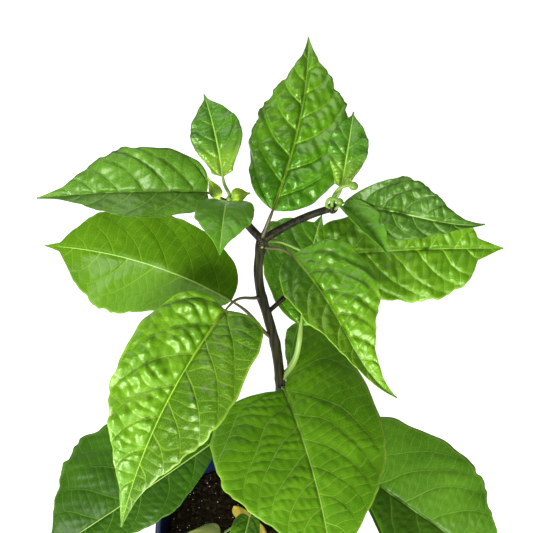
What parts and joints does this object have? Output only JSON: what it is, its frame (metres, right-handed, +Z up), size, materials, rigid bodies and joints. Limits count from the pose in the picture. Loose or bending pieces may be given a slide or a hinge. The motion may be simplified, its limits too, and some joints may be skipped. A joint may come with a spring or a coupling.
{
  "type": "potted chilli pepper plant",
  "caption": "Young potted chilli pepper plant: forked dark stem with broad pointed leaves, two flower buds and dark soil in a round blue plastic pot.",
  "frame": {"origin": "centre of the pot's underside, on its flat foot", "axes": "+Z up along the pot's axis, -Y towards the light and the viewer that the leaves face, +X to that viewer's right"},
  "size_m": [0.2998, 0.1825, 0.4455],
  "materials": {
    "pot_plastic": "satin moulded navy blue",
    "soil_mix": "dark moist potting mix with white grains",
    "stem_bark": "smooth dark olive stem with purple tint",
    "full_leaf": "glossy puckered living leaf",
    "old_leaf": "satin dark green living leaf",
    "young_leaf": "satin light green young leaf",
    "yellow_leaf": "dry yellowed leaf",
    "flower_bud": "soft pale green bud"
  },
  "bodies": {
    "root": {"pot": "pot_plastic", "soil": "soil_mix", "stem": "stem_bark", "crown_leaf": "full_leaf", "left_upper_leaf": "full_leaf", "left_lower_leaf": "full_leaf", "right_upper_leaf": "full_leaf", "right_lower_leaf": "full_leaf", "centre_leaf": "full_leaf", "front_left_leaf": "full_leaf", "front_leaf": "full_leaf", "back_upper_leaf": "full_leaf", "low_left_leaf": "old_leaf", "low_right_leaf": "old_leaf", "back_lower_leaf": "old_leaf", "small_low_leaf": "old_leaf", "round_low_leaf": "old_leaf", "left_shoot_leaf": "young_leaf", "right_shoot_leaf": "young_leaf", "heart_leaf": "young_leaf", "folded_leaf": "young_leaf", "tiny_upright_leaf": "young_leaf", "tiny_curled_leaf": "young_leaf", "fallen_leaf": "yellow_leaf", "upper_flower_bud": "flower_bud", "lower_flower_bud": "flower_bud"}
  },
  "joints": []
}
